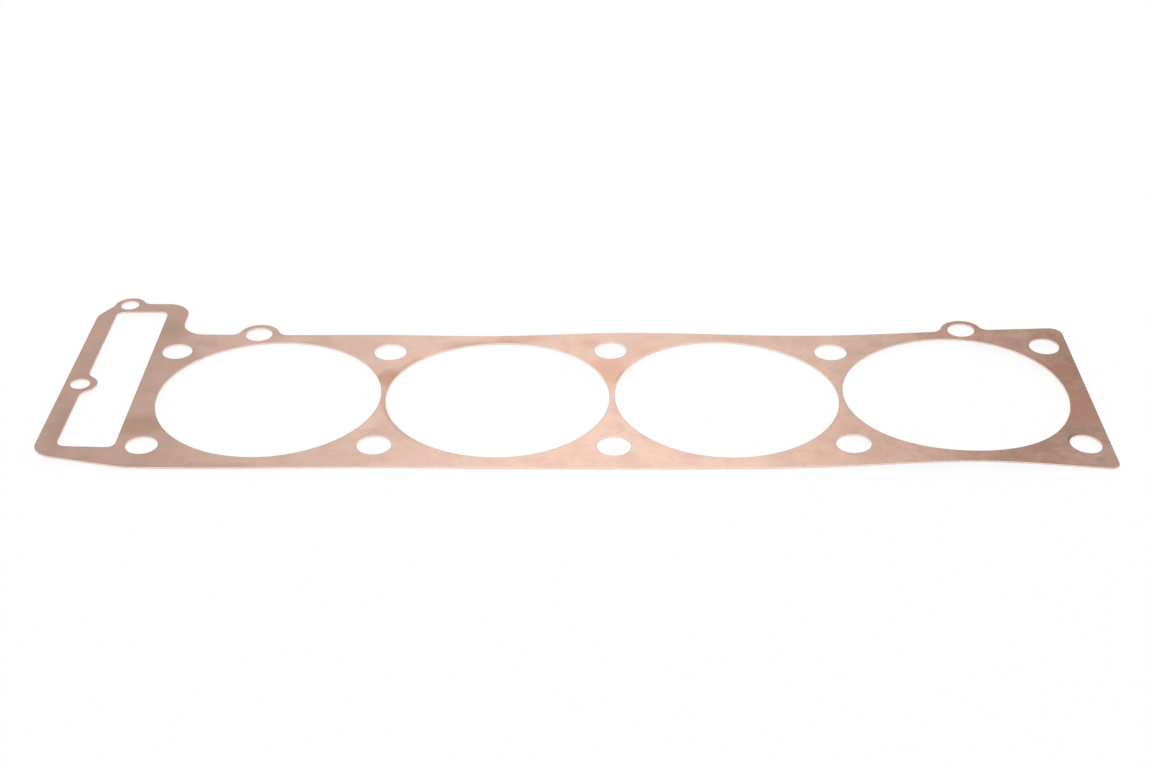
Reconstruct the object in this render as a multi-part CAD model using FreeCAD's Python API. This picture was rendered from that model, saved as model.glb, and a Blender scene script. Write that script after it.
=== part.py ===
import FreeCAD
import Part
import math
import os

# Cylinder base gasket for an engine with four bores in a row: one stamped sheet of soft copper.
# Millimetres, +Z up, lying on a flat surface at z = 0 with the slight waves it has taken on.
# Origin at the middle of the row of bores, +X along the row, away from the chain window.
# +Y points at the rear edge, the one with the two dowel lobes and the small ear.

# Sheet and its bores, with the narrow bridge of metal left between two of them
THICKNESS = 0.5
BORE_COUNT = 4
BORE_PITCH = 88.0
BRIDGE = 2.0
BORE_R = (BORE_PITCH - BRIDGE) / 2
END_BORE_X = BORE_PITCH * (BORE_COUNT - 1) / 2
BORES_END_X = END_BORE_X + BORE_R

# Widths of metal between the bores and the straight edges of the outline
FRONT_MARGIN = 7.2
REAR_MARGIN = 6.6
RIGHT_MARGIN = 8.4
FRONT_Y = -BORE_R - FRONT_MARGIN
REAR_Y = BORE_R + REAR_MARGIN
RIGHT_X = BORES_END_X + RIGHT_MARGIN

# Stud holes in two rows, one column on each bridge and one, of smaller holes, at each end
STUD_ROW_Y = 35.2
INNER_STUD_PITCH = BORE_PITCH + 0.3
INNER_STUD_R = 6.45
OUTER_STUD_X = BORES_END_X - 1.2
OUTER_STUD_R = 5.9

# Shelf that carries the chain window past the rear edge
SHELF_DEPTH = 26.4
SHELF_Y = REAR_Y + SHELF_DEPTH
SHELF_X = -BORES_END_X - 0.1

# Chain window, which the first bore and the outline leave walls around
WINDOW_WIDTH = 21.2
BORE_WALL = 8.7
LEFT_WALL = 7.7
FRONT_WALL = 13.4
REAR_WALL = 7.3
WINDOW_R = 3.0
WINDOW_RIGHT_X = -BORES_END_X - BORE_WALL
WINDOW_LEFT_X = WINDOW_RIGHT_X - WINDOW_WIDTH
WINDOW_FRONT_Y = FRONT_Y + FRONT_WALL
WINDOW_REAR_Y = SHELF_Y - REAR_WALL
LEFT_X = WINDOW_LEFT_X - LEFT_WALL

# Boss that stands into the chain window from its left wall, and the ear on the shelf
SCREW_HOLE_R = 3.75
BOSS_X = WINDOW_LEFT_X - 1.6
BOSS_Y = 8.6
BOSS_R = 6.6
BOSS_BLEND_R = 5.0
EAR_X = WINDOW_LEFT_X + 3.8
EAR_Y = SHELF_Y - 1.1
EAR_R = 6.4
EAR_BLEND_R = 4.0

# Dowel lobes on the rear edge, beside the end bores
LOBE_X = END_BORE_X + 11.2
LOBE_Y = REAR_Y + 0.4
LOBE_R = 8.2
LOBE_BLEND_R = 4.0
DOWEL_HOLE_R = 5.35

# Where the front edge slants back towards the chain end, and where the left edge slants to the ear
FRONT_SLANT_X = -BORES_END_X - 2.0
FRONT_SLANT_RISE = 7.1
EAR_SLANT_RISE = 10.3
EAR_SLANT_RUN = 6.0

# Corner radii of the outline
FRONT_RIGHT_R = 4.0
REAR_RIGHT_R = 5.0
FRONT_LEFT_R = 9.0
FRONT_SLANT_R = 30.0
EAR_SLANT_R = 9.0
SHELF_R = 10.0
SHELF_FOOT_R = 9.5

# Waves in the sheet: rise of its underside off the surface along two lines near its front and rear
# edges, at stations half a bore pitch apart, the first and last ones just beyond its ends
WAVE_LINE_Y = 50.0
WAVE_STEP = BORE_PITCH / 2
FRONT_RISE = (2.5, 0.7, 0.5, 0.8, 0.3, 0.1, 0.1, 1.4, 3.2, 0.3, -1.7)
REAR_RISE = (1.1, 1.0, 0.6, 0.6, 0.1, 1.5, 0.8, 0.2, 1.9, 3.5, 4.1)
WAVE_FIRST_X = -WAVE_STEP * (len(FRONT_RISE) - 1) / 2

# A bore's rim is made of this many arcs, because each stretch of it lies at its own height
RIM_ARCS = 8

# Blanks are cut this far above and below the surface, and this far each side of the middle
BLANK_REACH_Z = 15.0
BLANK_REACH_Y = 95.0

# Two points closer than this are one point
SAME_PLACE = 0.01


def upright_blank(face):
    """Solid that carries a flat outline through the whole height of the waves."""
    return face.extrude(FreeCAD.Vector(0, 0, 2 * BLANK_REACH_Z))


def at_base(x, y):
    return FreeCAD.Vector(x, y, -BLANK_REACH_Z)


def polygon_blank(corners):
    points = [at_base(x, y) for x, y in corners]
    return upright_blank(Part.Face(Part.makePolygon(points + points[:1])))


def round_blank(x, y, radius):
    return Part.makeCylinder(radius, 2 * BLANK_REACH_Z, at_base(x, y))


def arc_rimmed_blank(x, y, radius, arcs):
    """Round blank whose wall is a ring of equal arcs."""
    def rim_point(turn):
        angle = 2 * math.pi * turn / arcs
        return at_base(x + radius * math.cos(angle), y + radius * math.sin(angle))

    edges = [
        Part.Arc(rim_point(i), rim_point(i + 0.5), rim_point(i + 1)).toShape()
        for i in range(arcs)
    ]
    return upright_blank(Part.Face(Part.Wire(edges)))


def upright_edges(shape):
    for edge in shape.Edges:
        ends = [vertex.Point for vertex in edge.Vertexes]
        if len(ends) == 2 and math.hypot(ends[0].x - ends[1].x, ends[0].y - ends[1].y) < SAME_PLACE:
            yield edge, ends[0]


def round_corner(blank, x, y, radius):
    edges = [e for e, p in upright_edges(blank) if math.hypot(p.x - x, p.y - y) < SAME_PLACE]
    return blank.makeFillet(radius, edges)


def blend_round(blank, x, y, radius, blend):
    """Blend a round lobe, ear or boss into the straight edges beside it."""
    edges = [
        e for e, p in upright_edges(blank)
        if abs(math.hypot(p.x - x, p.y - y) - radius) < SAME_PLACE
    ]
    return blank.makeFillet(blend, edges)


def outline_blank():
    corners = [
        (RIGHT_X, FRONT_Y, FRONT_RIGHT_R),
        (RIGHT_X, REAR_Y, REAR_RIGHT_R),
        (SHELF_X, REAR_Y, SHELF_FOOT_R),
        (SHELF_X, SHELF_Y, SHELF_R),
        (LEFT_X, SHELF_Y - EAR_SLANT_RISE, EAR_SLANT_R),
        (LEFT_X, FRONT_Y + FRONT_SLANT_RISE, FRONT_LEFT_R),
        (FRONT_SLANT_X, FRONT_Y, FRONT_SLANT_R),
    ]
    places = [(x, y) for x, y, _ in corners]
    places.insert(4, (LEFT_X + EAR_SLANT_RUN, SHELF_Y))
    blank = polygon_blank(places)
    for x, y, radius in corners:
        blank = round_corner(blank, x, y, radius)
    for x in (-LOBE_X, LOBE_X):
        blank = blank.fuse(round_blank(x, LOBE_Y, LOBE_R)).removeSplitter()
        blank = blend_round(blank, x, LOBE_Y, LOBE_R, LOBE_BLEND_R)
    blank = blank.fuse(round_blank(EAR_X, EAR_Y, EAR_R)).removeSplitter()
    return blend_round(blank, EAR_X, EAR_Y, EAR_R, EAR_BLEND_R)


def window_blank():
    corners = [
        (WINDOW_LEFT_X, WINDOW_FRONT_Y),
        (WINDOW_RIGHT_X, WINDOW_FRONT_Y),
        (WINDOW_RIGHT_X, WINDOW_REAR_Y),
        (WINDOW_LEFT_X, WINDOW_REAR_Y),
    ]
    blank = polygon_blank(corners)
    for x, y in corners:
        blank = round_corner(blank, x, y, WINDOW_R)
    blank = blank.cut(round_blank(BOSS_X, BOSS_Y, BOSS_R))
    return blend_round(blank, BOSS_X, BOSS_Y, BOSS_R, BOSS_BLEND_R)


def bore_blanks():
    return [
        arc_rimmed_blank(i * BORE_PITCH - END_BORE_X, 0, BORE_R, RIM_ARCS)
        for i in range(BORE_COUNT)
    ]


def small_hole_blanks():
    holes = [(EAR_X, EAR_Y, SCREW_HOLE_R), (BOSS_X, BOSS_Y, SCREW_HOLE_R)]
    holes += [(x, LOBE_Y, DOWEL_HOLE_R) for x in (-LOBE_X, LOBE_X)]
    bridges_x = [(i - BORE_COUNT / 2) * INNER_STUD_PITCH for i in range(1, BORE_COUNT)]
    for y in (-STUD_ROW_Y, STUD_ROW_Y):
        holes += [(x, y, INNER_STUD_R) for x in bridges_x]
        holes += [(x, y, OUTER_STUD_R) for x in (-OUTER_STUD_X, OUTER_STUD_X)]
    return [round_blank(x, y, radius) for x, y, radius in holes]


def wave_line(y):
    """Curve along the underside at one y, through a point at each station."""
    share = (y + WAVE_LINE_Y) / (2 * WAVE_LINE_Y)
    points = [
        FreeCAD.Vector(WAVE_FIRST_X + i * WAVE_STEP, y, front + (rear - front) * share)
        for i, (front, rear) in enumerate(zip(FRONT_RISE, REAR_RISE))
    ]
    line = Part.BSplineCurve()
    line.interpolate(Points=points, Parameters=list(range(len(points))))
    return line


def wavy_slab():
    """Sheet metal without its outline. Between front and rear it is straight, and along X it waves."""
    lines = [wave_line(share * BLANK_REACH_Y) for share in (-1, -1 / 3, 1 / 3, 1)]
    degree = len(lines) - 1
    underside = Part.BSplineSurface()
    underside.buildFromPolesMultsKnots(
        [line.getPoles() for line in lines],
        [degree + 1, degree + 1],
        lines[0].getMultiplicities(),
        [0, 1],
        lines[0].getKnots(),
        False,
        False,
        degree,
        lines[0].Degree,
    )
    return underside.toShape().extrude(FreeCAD.Vector(0, 0, THICKNESS))


def gasket_sheet():
    flat = outline_blank().cut([window_blank()] + bore_blanks() + small_hole_blanks())
    sheet = wavy_slab().common(flat).Solids[0]
    lowest = sheet.optimalBoundingBox(False, False).ZMin
    sheet.translate(FreeCAD.Vector(0, 0, -lowest))
    return sheet


os.makedirs("parts", exist_ok=True)
gasket_sheet().exportStep("parts/gasket_sheet.step")
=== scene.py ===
import math

import bpy
import numpy as np
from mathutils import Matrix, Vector
from mathutils.geometry import delaunay_2d_cdt
from mathutils.kdtree import KDTree


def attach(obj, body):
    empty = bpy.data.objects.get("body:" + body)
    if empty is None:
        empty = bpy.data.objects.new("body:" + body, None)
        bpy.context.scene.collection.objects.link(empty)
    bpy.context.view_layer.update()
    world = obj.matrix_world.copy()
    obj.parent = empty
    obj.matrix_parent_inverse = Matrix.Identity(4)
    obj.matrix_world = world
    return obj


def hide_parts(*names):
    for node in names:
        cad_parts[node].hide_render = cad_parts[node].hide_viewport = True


# Cylinder base gasket: the CAD sheet again, with finer waves, rolled rims with a painted highlight and
# painted shade, and worn, tarnished copper with painted shade towards its ends.
# Sizes are millimetres, as in the source of the CAD model, and MM turns them into metres.
MM = 0.001

# Sheet and its bores
THICKNESS = 0.5
BORE_COUNT = 4
BORE_PITCH = 88.0
BRIDGE = 2.0
BORE_R = (BORE_PITCH - BRIDGE) / 2
END_BORE_X = BORE_PITCH * (BORE_COUNT - 1) / 2
BORES_END_X = END_BORE_X + BORE_R

# Straight edges of the outline
FRONT_Y = -BORE_R - 7.2
REAR_Y = BORE_R + 6.6
RIGHT_X = BORES_END_X + 8.4
SHELF_Y = REAR_Y + 26.4
SHELF_X = -BORES_END_X - 0.1

# Stud holes
STUD_ROW_Y = 35.2
INNER_STUD_PITCH = BORE_PITCH + 0.3
INNER_STUD_R = 6.45
OUTER_STUD_X = BORES_END_X - 1.2
OUTER_STUD_R = 5.9

# Chain window
WINDOW_R = 3.0
WINDOW_RIGHT_X = -BORES_END_X - 8.7
WINDOW_LEFT_X = WINDOW_RIGHT_X - 21.2
WINDOW_FRONT_Y = FRONT_Y + 13.4
WINDOW_REAR_Y = SHELF_Y - 7.3
LEFT_X = WINDOW_LEFT_X - 7.7

# Boss in the window, ear on the shelf and dowel lobes on the rear edge
SCREW_HOLE_R = 3.75
BOSS = (WINDOW_LEFT_X - 1.6, 8.6)
BOSS_R = 6.6
BOSS_BLEND_R = 5.0
EAR = (WINDOW_LEFT_X + 3.8, SHELF_Y - 1.1)
EAR_R = 6.4
EAR_BLEND_R = 4.0
LOBE_X = END_BORE_X + 11.2
LOBE_Y = REAR_Y + 0.4
LOBE_R = 8.2
LOBE_BLEND_R = 4.0
DOWEL_HOLE_R = 5.35

# Slanted stretches and corner radii of the outline
FRONT_SLANT_X = -BORES_END_X - 2.0
FRONT_SLANT_RISE = 7.1
EAR_SLANT_RISE = 10.3
EAR_SLANT_RUN = 6.0
FRONT_RIGHT_R = 4.0
REAR_RIGHT_R = 5.0
FRONT_LEFT_R = 9.0
FRONT_SLANT_R = 30.0
EAR_SLANT_R = 9.0
SHELF_R = 10.0
SHELF_FOOT_R = 9.5

# Waves of the underside along two lines, at stations half a bore pitch apart
WAVE_LINE_Y = 50.0
WAVE_STEP = BORE_PITCH / 2
FRONT_RISE = (2.5, 0.7, 0.5, 0.8, 0.3, 0.1, 0.1, 1.4, 3.2, 0.3, -1.7)
REAR_RISE = (1.1, 1.0, 0.6, 0.6, 0.1, 1.5, 0.8, 0.2, 1.9, 3.5, 4.1)
WAVE_FIRST_X = -WAVE_STEP * (len(FRONT_RISE) - 1) / 2

# Section of a stamped rim, from the underside round to the top: inset from the cut, and height.
# The punch rolls the top edge over and leaves the lower one crisp.
RIM = (
    (0.5, 0.0),
    (0.03, 0.0),
    (0.0, 0.03),
    (0.0, 0.2),
    (0.0, 0.35),
    (0.05, 0.44),
    (0.14, 0.49),
    (0.26, THICKNESS),
    (0.5, THICKNESS),
)

# Material of each band between two rows of the rim
FACE_SLOT = 0
CUT_SLOT = 1
ROLLED_SLOT = 2
RIM_SLOTS = (FACE_SLOT, CUT_SLOT, CUT_SLOT, CUT_SLOT, ROLLED_SLOT, ROLLED_SLOT, ROLLED_SLOT, FACE_SLOT)

# Spacing of the points round an arc, along a straight edge and inside the sheet
ARC_STEP = 1.5
ARC_TURN = math.radians(6)
EDGE_STEP = 3.0
INNER_STEP = 3.0
CLEAR_OF_EDGE = 0.6 * INNER_STEP
SAME_PLACE = 0.001

# Camera of the photograph: place in metres, tilt down and turn in degrees, lens and sensor in mm
CAMERA_PLACE = (-0.01462, -0.60146, 0.35614)
CAMERA_TILT = 30.148
CAMERA_TURN = -0.069
CAMERA_LENS = 56.72
SENSOR_WIDTH = 36.0
CLIP_START = 0.01

# Light: the world's strength on the object, how white the floor shows, and the soft lamps' names,
# places and sizes in metres and brightness, where 1 is white. The lamps point at the middle.
WHITE = (1, 1, 1, 1)
WORLD_STRENGTH = 0.9
FLOOR_WHITE_SHARE = 0.93
FLOOR_COLOUR = (0.96, 0.96, 0.96, 1)
FLOOR_REACH = 3.0
LAMPS = (
    ("back_softbox", (0.0, 0.75, 0.85), (0.7, 0.5), 1.0),
    ("top_softbox", (-0.3, -0.5, 1.3), (1.2, 1.2), 0.25),
)

# Copper as it renders, linear: clean metal, the duller ends, darker by tarnish and by painted shade where
# the sheen falls off, and what has marked it
CLEAN = (0.71, 0.496, 0.403, 1)
LEFT_DULL = (0.46, 0.304, 0.242, 1)
RIGHT_DULL = (0.388, 0.222, 0.165, 1)
PALE = (0.73, 0.52, 0.43, 1)
HAZE = (0.54, 0.41, 0.34, 1)
AMBER = (0.46, 0.255, 0.17, 1)
ORANGE = (0.616, 0.362, 0.261, 1)
RUST = (0.38, 0.195, 0.14, 1)
UMBER = (0.30, 0.19, 0.13, 1)
BROWN = (0.33, 0.17, 0.10, 1)
SOOT = (0.13, 0.075, 0.05, 1)
# Fresh sheared metal, also used as the painted highlight on rims that face the front, and the grey of the
# painted shade on rims that face away
FRESH_CUT_AND_HIGHLIGHT = (0.98, 0.77, 0.73, 1)
PAINTED_SHADE_GREY = (0.13, 0.145, 0.135, 1)

# Noises in the copper: scale per metre, detail, and how much finer it is along each axis
CLOUDS = (16.0, 4.0, (1, 1, 1))
BLOTCHES = (90.0, 5.0, (1, 1, 1))
STREAKS = (9.0, 5.0, (1, 110, 1))
MOTTLE = (300.0, 4.0, (1, 1, 1))
GRAIN = (1400.0, 2.0, (0.5, 1, 1))
PITS = (900.0, 1.0, (1, 1, 1))
SCORES = (2500.0, 4.0, (1, 0.05, 1))
NICKS = (420.0, 4.0, (1, 0.2, 1))

# Values of a noise between which its effect grows from nothing to full
CLOUD_SPAN = (0.2, 0.8)
CLOUD_PALE = (0.45, 0.75)
BLOTCH_SPAN = (0.25, 0.75)
BLOTCH_WORN = (0.45, 0.75)
BLOTCH_DULL = (0.3, 0.7)
STREAK_DARK = (0.48, 0.70)
STREAK_DULL = (0.35, 0.7)
SPECKLE_DARK = (0.75, 1.35)
PIT_DARK = (0.76, 0.82)
CUT_CHANGE = (0.4, 0.65)
CUT_DULL = (0.3, 0.7)

# Stretches of the row, in metres from the middle, over which the tarnish and painted shade of each end
# and the wear of the right end grow, and how far the clouds shift the tarnish and painted shade
LEFT_TARNISH_AND_SHADE = (-0.025, -0.19)
RIGHT_TARNISH_AND_SHADE = (0.028, 0.178)
RIGHT_WEAR = (0.06, 0.19)
TARNISH_AND_SHADE_SHIFT = 0.025

# Strength of each effect. A pair runs from the weakest to the strongest.
CLOUD_SHARE = 0.22
WORN_SHARE = (0.08, 0.22)
SPECKLE_SHARE = (0.09, 0.36)
STREAK_SHARE = 0.025
PIT_SHARE = 0.5
FRESH_SHARE = (0.5, 0.95)
# Strength of the painted highlight on rims that face the front, of the nicks in the painted shade, and of
# that painted shade on rims that face away
PAINTED_HIGHLIGHT_SHARE = 0.85
NICKED_SHADE_SHARE = (0.4, 1.0)
PAINTED_SHADE_SHARE = (0.05, 0.85)

# Roughness, and depth of relief in metres
SHEET_ROUGHNESS = (0.42, 0.50)
STREAK_ROUGHNESS = (-0.015, 0.015)
CUT_ROUGHNESS = (0.36, 0.55)
SHEET_RELIEF = 0.000004
STREAK_RELIEF_SHARE = 0.2
CUT_RELIEF = 0.00001

# A rim faces away from the front light by its direction's Y, and more by its X the further out it lies,
# per metre. Between the first values the painted highlight ends, and between the second ones the painted
# shade begins.
FAR_SIDE_SPREAD = (1.7, 0, 0)
PAINTED_HIGHLIGHT_SIDE = (-0.35, 0.0)
PAINTED_SHADE_SIDE = (-0.15, 0.3)

# How a mark fades: its full part and its reach in half widths, how far its edge strays, the full part
# of a rim mark's spread, and how far that mark's edge strays, in widths of the mark
MARK_FADE = (0.4, 1.5)
MARK_STRAY = (-0.5, 0.5)
RIM_MARK_CORE = 0.4
RIM_MARK_STRAY = 0.5

# Marks on the sheet: middle x and y, half width and depth, strength, and colour
MARKS = (
    (-146.0, 43.0, 22.0, 12.0, 0.28, PALE),
    (-179.0, -5.0, 3.5, 12.0, 0.12, HAZE),
    (-177.0, -20.5, 8.0, 6.5, 0.38, BROWN),
    (-179.5, 53.0, 6.0, 9.0, 0.25, UMBER),
    (-206.0, -25.0, 6.0, 18.0, 0.32, UMBER),
    (-143.0, -50.0, 10.0, 3.0, 0.30, AMBER),
    (-99.0, 39.0, 8.0, 9.0, 0.15, UMBER),
    (-88.0, 14.5, 4.5, 5.5, 0.48, BROWN),
    (-93.0, -18.0, 5.0, 10.0, 0.32, PALE),
    (-83.0, -40.0, 6.0, 9.0, 0.30, PALE),
    (-56.0, 42.0, 13.0, 3.5, 0.38, AMBER),
    (-38.0, 46.5, 12.0, 3.5, 0.36, AMBER),
    (-8.0, 41.0, 4.0, 4.0, 0.30, AMBER),
    (-1.0, 19.0, 7.0, 11.0, 0.80, ORANGE),
    (11.0, 35.0, 8.0, 7.0, 0.20, AMBER),
    (40.0, 46.0, 42.0, 7.0, 0.09, UMBER),
    (50.0, 46.0, 9.0, 6.0, 0.12, UMBER),
    (99.0, -38.0, 7.0, 8.0, 0.12, UMBER),
    (165.0, 32.0, 6.0, 9.0, 0.22, HAZE),
    (166.0, 48.0, 18.0, 6.0, 0.20, HAZE),
    (182.0, 31.0, 3.5, 9.0, 0.35, UMBER),
    (178.0, 17.0, 7.0, 5.0, 0.55, BROWN),
    (178.0, -10.0, 9.0, 11.0, 0.60, RUST),
    (174.0, -24.5, 9.0, 3.5, 0.42, UMBER),
    (168.0, -48.0, 11.0, 6.0, 0.20, PALE),
    (184.0, -43.0, 6.0, 9.0, 0.35, HAZE),
    (156.0, -37.0, 8.0, 4.0, 0.15, UMBER),
)

# Marks that hug the rim of a hole: its middle and radius, width of the mark, heading from the
# middle and spread either side of it in degrees, strength, and colour
SECOND_BORE = (BORE_PITCH - END_BORE_X, 0.0, BORE_R)
THIRD_BORE = (END_BORE_X - BORE_PITCH, 0.0, BORE_R)
RIM_MARKS = (
    (*SECOND_BORE, 4.0, 150, 18, 0.60, AMBER),
    (*SECOND_BORE, 4.0, 164, 12, 0.55, AMBER),
    (*SECOND_BORE, 2.6, 200, 34, 0.55, AMBER),
    (*SECOND_BORE, 4.0, 100, 30, 0.35, AMBER),
    (*THIRD_BORE, 2.2, 160, 9, 0.50, UMBER),
    (END_BORE_X, 0.0, BORE_R, 3.0, 20, 40, 0.40, RUST),
    (OUTER_STUD_X, -STUD_ROW_Y, OUTER_STUD_R, 6.0, 135, 60, 0.45, UMBER),
    (OUTER_STUD_X, -STUD_ROW_Y, OUTER_STUD_R, 1.8, 135, 60, 1.0, SOOT),
)


def between(start, end):
    """Length of the way from one point to another, and its direction."""
    dx, dy = end[0] - start[0], end[1] - start[1]
    length = math.hypot(dx, dy)
    return length, (dx / length, dy / length)


def corner_round(before, corner, after, radius):
    """Round that touches both sides of a corner. Its radius is negative where the path turns right."""
    _, (ax, ay) = between(corner, before)
    _, (bx, by) = between(corner, after)
    half_angle = math.acos(ax * bx + ay * by) / 2
    _, (mx, my) = between((0, 0), (ax + bx, ay + by))
    reach = radius / math.sin(half_angle)
    turns_left = ax * by - ay * bx < 0
    return (corner[0] + mx * reach, corner[1] + my * reach), radius if turns_left else -radius


def blend_round(start, end, lobe, lobe_r, blend, side):
    """Hollow that blends a lobe into the straight edge before it (side -1) or after it (side 1)."""
    _, (tx, ty) = between(start, end)
    foot = (start[0] + ty * blend, start[1] - tx * blend)
    along = (lobe[0] - foot[0]) * tx + (lobe[1] - foot[1]) * ty
    across = (lobe[0] - foot[0]) * ty - (lobe[1] - foot[1]) * tx
    along += side * math.sqrt((lobe_r + blend) ** 2 - across**2)
    return (foot[0] + tx * along, foot[1] + ty * along), -blend


def lobe_rounds(edge_in, edge_out, lobe, lobe_r, blend):
    return [
        blend_round(*edge_in, lobe, lobe_r, blend, -1),
        (lobe, lobe_r),
        blend_round(*edge_out, lobe, lobe_r, blend, 1),
    ]


def outline_rounds():
    right_front, right_rear = (RIGHT_X, FRONT_Y), (RIGHT_X, REAR_Y)
    foot, shelf = (SHELF_X, REAR_Y), (SHELF_X, SHELF_Y)
    ear_side = (LEFT_X + EAR_SLANT_RUN, SHELF_Y)
    left_rear, left_front = (LEFT_X, SHELF_Y - EAR_SLANT_RISE), (LEFT_X, FRONT_Y + FRONT_SLANT_RISE)
    slant = (FRONT_SLANT_X, FRONT_Y)
    rear = (right_rear, foot)
    return [
        corner_round(slant, right_front, right_rear, FRONT_RIGHT_R),
        corner_round(right_front, right_rear, foot, REAR_RIGHT_R),
        *lobe_rounds(rear, rear, (LOBE_X, LOBE_Y), LOBE_R, LOBE_BLEND_R),
        *lobe_rounds(rear, rear, (-LOBE_X, LOBE_Y), LOBE_R, LOBE_BLEND_R),
        corner_round(right_rear, foot, shelf, SHELF_FOOT_R),
        corner_round(foot, shelf, ear_side, SHELF_R),
        *lobe_rounds((shelf, ear_side), (ear_side, left_rear), EAR, EAR_R, EAR_BLEND_R),
        corner_round(ear_side, left_rear, left_front, EAR_SLANT_R),
        corner_round(left_rear, left_front, slant, FRONT_LEFT_R),
        corner_round(left_front, slant, right_front, FRONT_SLANT_R),
    ]


def window_rounds():
    left_front, left_rear = (WINDOW_LEFT_X, WINDOW_FRONT_Y), (WINDOW_LEFT_X, WINDOW_REAR_Y)
    right_front, right_rear = (WINDOW_RIGHT_X, WINDOW_FRONT_Y), (WINDOW_RIGHT_X, WINDOW_REAR_Y)
    left = (left_front, left_rear)
    return [
        corner_round(right_front, left_front, left_rear, WINDOW_R),
        *lobe_rounds(left, left, BOSS, BOSS_R, BOSS_BLEND_R),
        corner_round(left_front, left_rear, right_rear, WINDOW_R),
        corner_round(left_rear, right_rear, right_front, WINDOW_R),
        corner_round(right_rear, right_front, left_front, WINDOW_R),
    ]


def round_holes():
    holes = [((i * BORE_PITCH - END_BORE_X, 0.0), BORE_R) for i in range(BORE_COUNT)]
    holes += [(EAR, SCREW_HOLE_R), (BOSS, SCREW_HOLE_R)]
    holes += [((x, LOBE_Y), DOWEL_HOLE_R) for x in (-LOBE_X, LOBE_X)]
    bridges_x = [(i - BORE_COUNT / 2) * INNER_STUD_PITCH for i in range(1, BORE_COUNT)]
    for y in (-STUD_ROW_Y, STUD_ROW_Y):
        holes += [((x, y), INNER_STUD_R) for x in bridges_x]
        holes += [((x, y), OUTER_STUD_R) for x in (-OUTER_STUD_X, OUTER_STUD_X)]
    return holes


def on_round(centre, radius, heading):
    """Point of a round where the path has this heading. The metal is on the path's left."""
    return centre[0] + radius * math.sin(heading), centre[1] - radius * math.cos(heading), heading


def arc_path(centre, radius, heading, turn):
    steps = math.ceil(abs(turn) * max(abs(radius) / ARC_STEP, 1 / ARC_TURN))
    return [on_round(centre, radius, heading + turn * i / steps) for i in range(steps + 1)]


def heading_between(first, second):
    """Heading of the straight line that leaves one round and meets the next."""
    (centre_a, radius_a), (centre_b, radius_b) = first, second
    distance, (dx, dy) = between(centre_a, centre_b)
    growth = radius_b - radius_a
    run = math.sqrt(max(0.0, distance**2 - growth**2))
    return math.atan2(dy, dx) - math.atan2(growth, run)


def straight_path(start, end):
    """Points between the ends of a straight stretch, without the ends themselves."""
    run_x, run_y = end[0] - start[0], end[1] - start[1]
    steps = math.ceil(math.hypot(run_x, run_y) / EDGE_STEP)
    shares = [i / steps for i in range(1, steps)]
    return [(start[0] + run_x * share, start[1] + run_y * share, start[2]) for share in shares]


def belt_path(rounds):
    """Closed path that runs straight from each round to the next: x, y and heading of its points."""
    headings = [heading_between(a, b) for a, b in zip(rounds, rounds[1:] + rounds[:1])]
    path = []
    for i, (centre, radius) in enumerate(rounds):
        turn = (headings[i] - headings[i - 1]) % (2 * math.pi)
        if radius < 0:
            turn -= 2 * math.pi
        path += arc_path(centre, radius, headings[i - 1], turn)
        path += straight_path(path[-1], on_round(*rounds[(i + 1) % len(rounds)], headings[i]))
    before = path[-1:] + path[:-1]
    apart = [math.hypot(a[0] - b[0], a[1] - b[1]) > SAME_PLACE for a, b in zip(path, before)]
    return [point for point, keep in zip(path, apart) if keep]


def all_paths():
    holes = [arc_path(centre, -radius, 0.0, -2 * math.pi)[:-1] for centre, radius in round_holes()]
    return [belt_path(outline_rounds()), belt_path(window_rounds()), *holes]


def wave_slopes(rises):
    """Slope of the smooth line through the rises, at each station."""
    rises = np.array(rises)
    system = np.eye(len(rises))
    sums = np.zeros(len(rises))
    for i in range(1, len(rises) - 1):
        system[i, i - 1 : i + 2] = (1, 4, 1)
        sums[i] = 3 * (rises[i + 1] - rises[i - 1])
    end_slope = np.array((-11, 18, -9, 2)) / 6
    sums[0] = end_slope @ rises[:4]
    sums[-1] = -end_slope @ rises[:-5:-1]
    return np.linalg.solve(system, sums)


def wave_line(rises, x):
    rises, slopes = np.array(rises), wave_slopes(rises)
    place = (x - WAVE_FIRST_X) / WAVE_STEP
    i = np.floor(place).astype(int)
    t = place - i
    return (
        (2 * t**3 - 3 * t**2 + 1) * rises[i]
        + (t**3 - 2 * t**2 + t) * slopes[i]
        + (3 * t**2 - 2 * t**3) * rises[i + 1]
        + (t**3 - t**2) * slopes[i + 1]
    )


def underside(x, y):
    """Height of the sheet's underside, before the sheet is set down on its lowest point."""
    front, rear = wave_line(FRONT_RISE, x), wave_line(REAR_RISE, x)
    return front + (rear - front) * (y + WAVE_LINE_Y) / (2 * WAVE_LINE_Y)


def inner_points(edge_points):
    """Points spread evenly inside the sheet, none of them crowding an edge."""
    tree = KDTree(len(edge_points))
    for i, (x, y) in enumerate(edge_points):
        tree.insert((x, y, 0), i)
    tree.balance()
    row_step = INNER_STEP * math.sqrt(3) / 2
    points = []
    for row in range(int((SHELF_Y - FRONT_Y) / row_step)):
        y = FRONT_Y + (row + 0.5) * row_step
        for column in range(int((RIGHT_X - LEFT_X) / INNER_STEP)):
            x = LEFT_X + (column + 0.5 * (row % 2)) * INNER_STEP
            if tree.find((x, y, 0))[2] > CLEAR_OF_EDGE:
                points.append((x, y))
    return points


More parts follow.
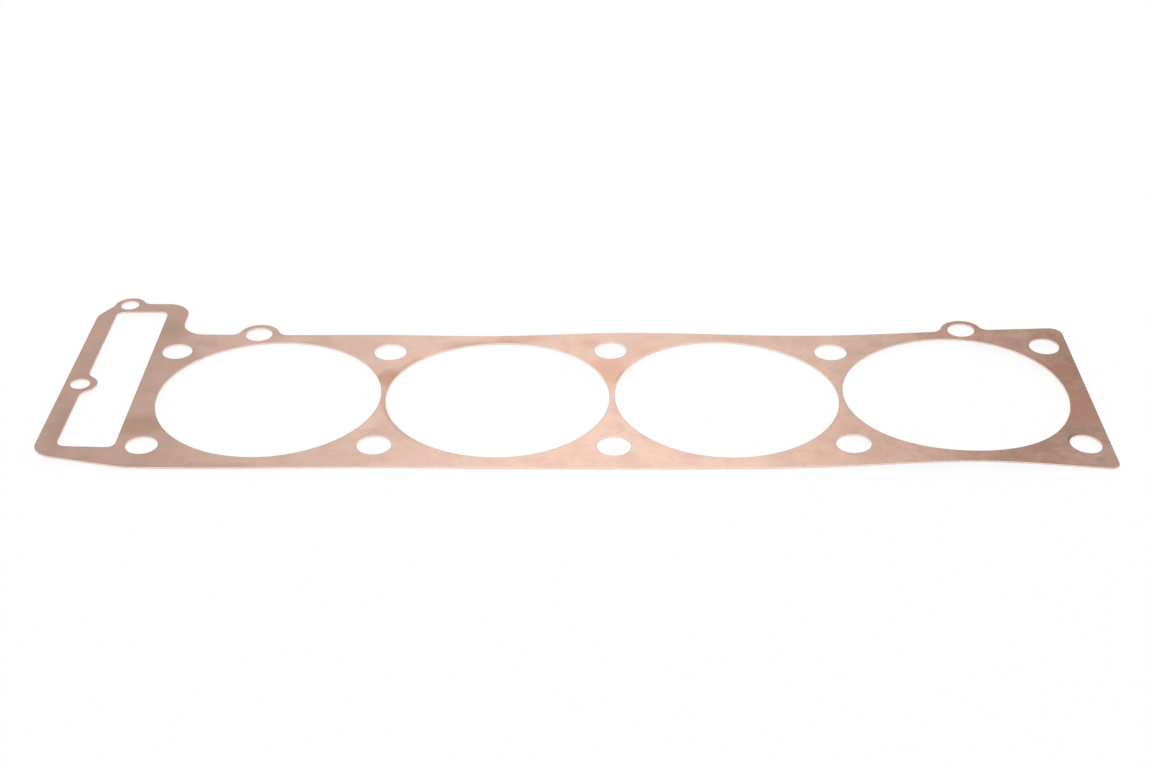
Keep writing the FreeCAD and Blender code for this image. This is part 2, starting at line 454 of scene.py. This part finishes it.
def fill(paths):
    """Triangles that fill the sheet between its rims, and the points that they join."""
    inset = RIM[0][0]
    edge_points = [
        (x - inset * math.sin(heading), y + inset * math.cos(heading))
        for path in paths
        for x, y, heading in path
    ]
    loops, start = [], 0
    for path in paths:
        loops.append(list(range(start, start + len(path))))
        start += len(path)
    outline, holes = loops[0], [loop[::-1] for loop in loops[1:]]
    points = edge_points + inner_points(edge_points)
    _, _, faces, sources, _, inside = delaunay_2d_cdt(
        [Vector(p) for p in points], [], [outline, *holes], 0, SAME_PLACE, True
    )
    metal = [face for face, loops_around in zip(faces, inside) if loops_around == [0]]
    return points, [[sources[i][0] for i in face] for face in metal]


class SheetMesh:
    """Vertices, faces and their materials and texture places, gathered for one mesh."""

    def __init__(self):
        self.places = []
        self.faces = []
        self.slots = []
        self.uvs = []

    def add_points(self, x, y, height):
        first = len(self.places)
        self.places += np.column_stack((x, y, underside(x, y) + height)).tolist()
        return first

    def add_face(self, corners, slot, uvs):
        self.faces.append(corners)
        self.slots.append(slot)
        self.uvs += uvs


def add_rim(sheet, path):
    """Rolled rim round one path. Its rows of points are given back from the underside to the top."""
    x, y, heading = np.array(path).T
    rows = [
        sheet.add_points(x - inset * np.sin(heading), y + inset * np.cos(heading), height)
        for inset, height in RIM
    ]
    count = len(path)
    steps = np.hypot(np.roll(x, -1) - x, np.roll(y, -1) - y)
    along = np.concatenate(([0], np.cumsum(steps)))
    for level, (low, high) in enumerate(zip(rows, rows[1:])):
        for i in range(count):
            after = (i + 1) % count
            here, there = along[i], along[i + 1]
            uvs = [(here, level), (there, level), (there, level + 1), (here, level + 1)]
            sheet.add_face((low + i, low + after, high + after, high + i), RIM_SLOTS[level], uvs)
    return rows


def build_sheet():
    paths = all_paths()
    sheet = SheetMesh()
    rims = [add_rim(sheet, path) for path in paths]
    points, triangles = fill(paths)
    edge_count = sum(len(path) for path in paths)
    inner_x, inner_y = np.array(points[edge_count:]).T
    for level, height in ((0, 0.0), (-1, THICKNESS)):
        index = [rows[level] + i for rows, path in zip(rims, paths) for i in range(len(path))]
        first = sheet.add_points(inner_x, inner_y, height)
        index += range(first, first + len(inner_x))
        for triangle in triangles:
            corners = triangle if height else triangle[::-1]
            sheet.add_face([index[i] for i in corners], FACE_SLOT, [points[i] for i in corners])
    return sheet


def make_mesh(sheet):
    places = np.array(sheet.places)
    used = np.unique(np.concatenate([np.array(face) for face in sheet.faces]))
    renumber = {old: new for new, old in enumerate(used.tolist())}
    places = places[used]
    places[:, 2] -= places[:, 2].min()
    mesh = bpy.data.meshes.new("gasket_sheet_fine")
    mesh.from_pydata((places * MM).tolist(), [], [[renumber[i] for i in face] for face in sheet.faces])
    mesh.polygons.foreach_set("material_index", sheet.slots)
    mesh.polygons.foreach_set("use_smooth", [True] * len(sheet.faces))
    layer = mesh.uv_layers.new(name="rim")
    layer.data.foreach_set("uv", (np.array(sheet.uvs) * MM).ravel())
    mesh.update()
    return mesh


def add_node(tree, kind, inputs=None, **settings):
    """New shader node. An input takes either another node's output or a plain value."""
    item = tree.nodes.new("ShaderNode" + kind)
    for name, value in settings.items():
        setattr(item, name, value)
    for key, value in (inputs or {}).items():
        if isinstance(value, bpy.types.NodeSocket):
            tree.links.new(value, item.inputs[key])
        else:
            item.inputs[key].default_value = value
    return item


def math_node(tree, operation, first, second):
    return add_node(tree, "Math", {0: first, 1: second}, operation=operation).outputs[0]


def vector_node(tree, operation, output, *inputs):
    """Vector maths on these inputs, of which either the Vector or the Value comes out."""
    return add_node(tree, "VectorMath", dict(enumerate(inputs)), operation=operation).outputs[output]


def smooth_range(tree, value, low, high, to_low=0.0, to_high=1.0):
    inputs = {"Value": value, "From Min": low, "From Max": high, "To Min": to_low, "To Max": to_high}
    return add_node(tree, "MapRange", inputs, interpolation_type="SMOOTHSTEP").outputs["Result"]


def mix_colour(tree, factor, first, second):
    return add_node(tree, "Mix", {0: factor, 6: first, 7: second}, data_type="RGBA").outputs[2]


def noise(tree, place, kind):
    """Noise from 0 to 1, of one of the kinds listed above."""
    scale, detail, stretch = kind
    spread = add_node(tree, "Mapping", {"Vector": place, "Scale": stretch}).outputs["Vector"]
    return add_node(tree, "TexNoise", {"Vector": spread, "Scale": scale, "Detail": detail}).outputs["Fac"]


def offset_from(tree, place, x, y):
    return vector_node(tree, "SUBTRACT", "Vector", place, (x * MM, y * MM, 0))


def add_mark(tree, place, stray, colour, mark):
    """Soft-edged mark on the colour, with a ragged outline."""
    x, y, width, depth, strength, tint = mark
    shrink = (1 / (width * MM), 1 / (depth * MM), 0)
    scaled = vector_node(tree, "MULTIPLY", "Vector", offset_from(tree, place, x, y), shrink)
    reach = math_node(tree, "ADD", vector_node(tree, "LENGTH", "Value", scaled), stray)
    return mix_colour(tree, smooth_range(tree, reach, *MARK_FADE, strength, 0.0), colour, tint)


def add_rim_mark(tree, place, stray, colour, mark):
    """Ragged mark that fades away from the rim of a hole, on the side that its heading names."""
    x, y, radius, width, heading, spread, strength, tint = mark
    aim = (math.cos(math.radians(heading)), math.sin(math.radians(heading)), 0)
    full, gone = math.cos(math.radians(RIM_MARK_CORE * spread)), math.cos(math.radians(spread))
    offset = offset_from(tree, place, x, y)
    stray = math_node(tree, "MULTIPLY", stray, RIM_MARK_STRAY * width * MM)
    reach = math_node(tree, "ADD", vector_node(tree, "LENGTH", "Value", offset), stray)
    along = vector_node(tree, "NORMALIZE", "Vector", offset)
    side = smooth_range(tree, vector_node(tree, "DOT_PRODUCT", "Value", along, aim), gone, full)
    near = smooth_range(tree, reach, radius * MM, (radius + width) * MM, strength, 0.0)
    return mix_colour(tree, math_node(tree, "MULTIPLY", side, near), colour, tint)


def new_material(name):
    material = bpy.data.materials.new(name)
    material.use_nodes = True
    return material, material.node_tree


def finish_copper(tree, colour, roughness, height, depth):
    """Copper with this colour and roughness, and a relief of this depth in metres."""
    bump = add_node(tree, "Bump", {"Strength": 1.0, "Distance": depth, "Height": height})
    shader = tree.nodes["Principled BSDF"]
    shader.inputs["Metallic"].default_value = 1.0
    tree.links.new(colour, shader.inputs["Base Color"])
    tree.links.new(roughness, shader.inputs["Roughness"])
    tree.links.new(bump.outputs["Normal"], shader.inputs["Normal"])


def along_row(tree, place):
    return add_node(tree, "SeparateXYZ", {"Vector": place}).outputs["X"]


def tarnish_and_painted_sheen(tree, place):
    """Copper by its place on the sheet: clean and bright in the middle, dull and brown or red at the
    ends, by tarnish and by painted shade where the sheen falls off.
    """
    clouds = noise(tree, place, CLOUDS)
    shift = smooth_range(tree, clouds, *CLOUD_SPAN, -TARNISH_AND_SHADE_SHIFT, TARNISH_AND_SHADE_SHIFT)
    x = math_node(tree, "ADD", along_row(tree, place), shift)
    # Each end darkens by tarnish and by painted shade where the sheen of the bright middle falls off.
    colour = mix_colour(tree, smooth_range(tree, x, *LEFT_TARNISH_AND_SHADE), CLEAN, LEFT_DULL)
    colour = mix_colour(tree, smooth_range(tree, x, *RIGHT_TARNISH_AND_SHADE), colour, RIGHT_DULL)
    return mix_colour(tree, smooth_range(tree, clouds, *CLOUD_PALE, 0.0, CLOUD_SHARE), colour, PALE)


def darkened(tree, colour, effect, span, share, tint):
    """Colour with a tint where an effect is strong. The share is a number, or grows to the right."""
    strength = smooth_range(tree, effect, *span)
    return mix_colour(tree, math_node(tree, "MULTIPLY", strength, share), colour, tint)


def sheet_copper():
    """Soft rolled copper: clouded tarnish with painted shade towards the ends, fine grain along the
    sheet, handling marks and faint pits.
    """
    material, tree = new_material("soft_copper")
    place = add_node(tree, "TexCoord").outputs["Object"]
    x = along_row(tree, place)
    blotches = noise(tree, place, BLOTCHES)
    streaks = noise(tree, place, STREAKS)
    grain = noise(tree, place, GRAIN)
    speckle = math_node(tree, "ADD", noise(tree, place, MOTTLE), grain)
    stray = smooth_range(tree, blotches, *BLOTCH_SPAN, *MARK_STRAY)

    colour = tarnish_and_painted_sheen(tree, place)
    worn_share = smooth_range(tree, x, *RIGHT_WEAR, *WORN_SHARE)
    colour = darkened(tree, colour, blotches, BLOTCH_WORN, worn_share, UMBER)
    colour = darkened(tree, colour, streaks, STREAK_DARK, STREAK_SHARE, UMBER)
    speckle_share = smooth_range(tree, x, *RIGHT_WEAR, *SPECKLE_SHARE)
    colour = darkened(tree, colour, speckle, SPECKLE_DARK, speckle_share, SOOT)
    for mark in MARKS:
        colour = add_mark(tree, place, stray, colour, mark)
    for mark in RIM_MARKS:
        colour = add_rim_mark(tree, place, stray, colour, mark)
    colour = darkened(tree, colour, noise(tree, place, PITS), PIT_DARK, PIT_SHARE, UMBER)

    roughness = smooth_range(tree, blotches, *BLOTCH_DULL, *SHEET_ROUGHNESS)
    streak_roughness = smooth_range(tree, streaks, *STREAK_DULL, *STREAK_ROUGHNESS)
    roughness = math_node(tree, "ADD", roughness, streak_roughness)
    relief = math_node(tree, "ADD", math_node(tree, "MULTIPLY", streaks, STREAK_RELIEF_SHARE), grain)
    finish_copper(tree, colour, roughness, relief, SHEET_RELIEF)
    return material


def rim_noise(tree, kind):
    """Noise that follows the rims, and is stretched across them."""
    return noise(tree, add_node(tree, "UVMap", uv_map="rim").outputs["UV"], kind)


def cut_copper():
    """Sheared wall of the sheet: fresher metal with fine upright scores from the punch."""
    material, tree = new_material("cut_copper")
    colour = tarnish_and_painted_sheen(tree, add_node(tree, "TexCoord").outputs["Object"])
    scores = rim_noise(tree, SCORES)
    fresh = smooth_range(tree, scores, *CUT_CHANGE, *FRESH_SHARE)
    colour = mix_colour(tree, fresh, colour, FRESH_CUT_AND_HIGHLIGHT)
    roughness = smooth_range(tree, scores, *CUT_DULL, *CUT_ROUGHNESS)
    finish_copper(tree, colour, roughness, scores, CUT_RELIEF)
    return material


def rolled_copper():
    """Rolled-over top edge: painted highlight where it faces the front, painted shade broken up by nicks
    where it faces away.
    """
    material, tree = new_material("rolled_copper")
    coordinates = add_node(tree, "TexCoord").outputs
    place, facing = coordinates["Object"], coordinates["Normal"]
    # Painted light: a painted highlight on rims that face the front, and painted shade, broken up by the
    # nicks, on rims that face away.
    outward = vector_node(tree, "MULTIPLY_ADD", "Vector", place, FAR_SIDE_SPREAD, (0, 1, 0))
    far = vector_node(tree, "DOT_PRODUCT", "Value", facing, outward)
    painted_highlight = smooth_range(tree, far, *PAINTED_HIGHLIGHT_SIDE, PAINTED_HIGHLIGHT_SHARE, 0.0)
    colour = mix_colour(tree, painted_highlight, tarnish_and_painted_sheen(tree, place), FRESH_CUT_AND_HIGHLIGHT)
    nicks = rim_noise(tree, NICKS)
    painted_shade = smooth_range(tree, nicks, *CUT_CHANGE, *NICKED_SHADE_SHARE)
    painted_shade = math_node(tree, "MULTIPLY", painted_shade, smooth_range(tree, far, *PAINTED_SHADE_SIDE, *PAINTED_SHADE_SHARE))
    colour = mix_colour(tree, painted_shade, colour, PAINTED_SHADE_GREY)
    roughness = smooth_range(tree, nicks, *CUT_DULL, *CUT_ROUGHNESS)
    finish_copper(tree, colour, roughness, nicks, CUT_RELIEF)
    return material


def seen_directly(tree):
    """1 for what the camera, a gloss or a clear material sees, and 0 for the light on matt surfaces."""
    path = add_node(tree, "LightPath").outputs
    straight = math_node(tree, "MAXIMUM", path["Is Camera Ray"], path["Is Glossy Ray"])
    return math_node(tree, "MAXIMUM", straight, path["Is Transmission Ray"])


def white_world():
    world = bpy.data.worlds.new("studio")
    world.use_nodes = True
    tree = world.node_tree
    light = tree.nodes["Background"]
    light.inputs["Color"].default_value = WHITE
    light.inputs["Strength"].default_value = WORLD_STRENGTH
    backdrop = add_node(tree, "Background", {"Color": WHITE, "Strength": 1.0})
    shaders = {0: seen_directly(tree), 1: light.outputs[0], 2: backdrop.outputs[0]}
    mix = add_node(tree, "MixShader", shaders)
    tree.links.new(mix.outputs[0], tree.nodes["World Output"].inputs["Surface"])
    bpy.context.scene.world = world


def white_floor():
    """Pale floor that shows white and still takes a soft shadow."""
    sides = ((-1, -1), (1, -1), (1, 1), (-1, 1))
    corners = [(x * FLOOR_REACH, y * FLOOR_REACH, 0) for x, y in sides]
    mesh = bpy.data.meshes.new("floor")
    mesh.from_pydata(corners, [], [(0, 1, 2, 3)])
    floor = bpy.data.objects.new("floor", mesh)
    bpy.context.scene.collection.objects.link(floor)
    material, tree = new_material("floor_white")
    tree.nodes.remove(tree.nodes["Principled BSDF"])
    matt = add_node(tree, "BsdfDiffuse", {"Color": FLOOR_COLOUR})
    white = add_node(tree, "Emission", {"Color": WHITE, "Strength": 1.0})
    share = math_node(tree, "MULTIPLY", seen_directly(tree), FLOOR_WHITE_SHARE)
    mix = add_node(tree, "MixShader", {0: share, 1: matt.outputs[0], 2: white.outputs[0]})
    tree.links.new(mix.outputs[0], tree.nodes["Material Output"].inputs["Surface"])
    mesh.materials.append(material)


def soft_lamp(name, place, size, level):
    """Soft rectangular lamp that points at the middle. A mirror shows it with this brightness."""
    lamp = bpy.data.lights.new(name, "AREA")
    lamp.shape = "RECTANGLE"
    lamp.size, lamp.size_y = size
    lamp.energy = level * math.pi * size[0] * size[1]
    holder = bpy.data.objects.new(name, lamp)
    holder.location = place
    holder.rotation_euler = (-Vector(place)).to_track_quat("-Z", "Y").to_euler()
    bpy.context.scene.collection.objects.link(holder)


def add_camera():
    lens = bpy.data.cameras.new("camera")
    lens.lens = CAMERA_LENS
    lens.sensor_width = SENSOR_WIDTH
    lens.clip_start = CLIP_START
    camera = bpy.data.objects.new("camera", lens)
    camera.location = CAMERA_PLACE
    camera.rotation_euler = (math.radians(90 - CAMERA_TILT), 0, math.radians(CAMERA_TURN))
    bpy.context.scene.collection.objects.link(camera)
    bpy.context.scene.camera = camera


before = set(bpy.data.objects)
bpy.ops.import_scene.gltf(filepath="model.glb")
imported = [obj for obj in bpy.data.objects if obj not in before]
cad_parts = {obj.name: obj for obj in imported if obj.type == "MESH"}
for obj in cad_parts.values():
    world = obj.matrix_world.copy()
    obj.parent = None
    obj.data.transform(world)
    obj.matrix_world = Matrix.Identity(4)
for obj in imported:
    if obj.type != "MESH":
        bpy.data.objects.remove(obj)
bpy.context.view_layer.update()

gasket = bpy.data.objects.new("gasket_sheet_fine", make_mesh(build_sheet()))
bpy.context.scene.collection.objects.link(gasket)
for material in (sheet_copper(), cut_copper(), rolled_copper()):
    gasket.data.materials.append(material)
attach(gasket, "root")
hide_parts("gasket_sheet")

white_world()
white_floor()
for lamp_values in LAMPS:
    soft_lamp(*lamp_values)
add_camera()
bpy.context.scene.view_settings.view_transform = "Standard"
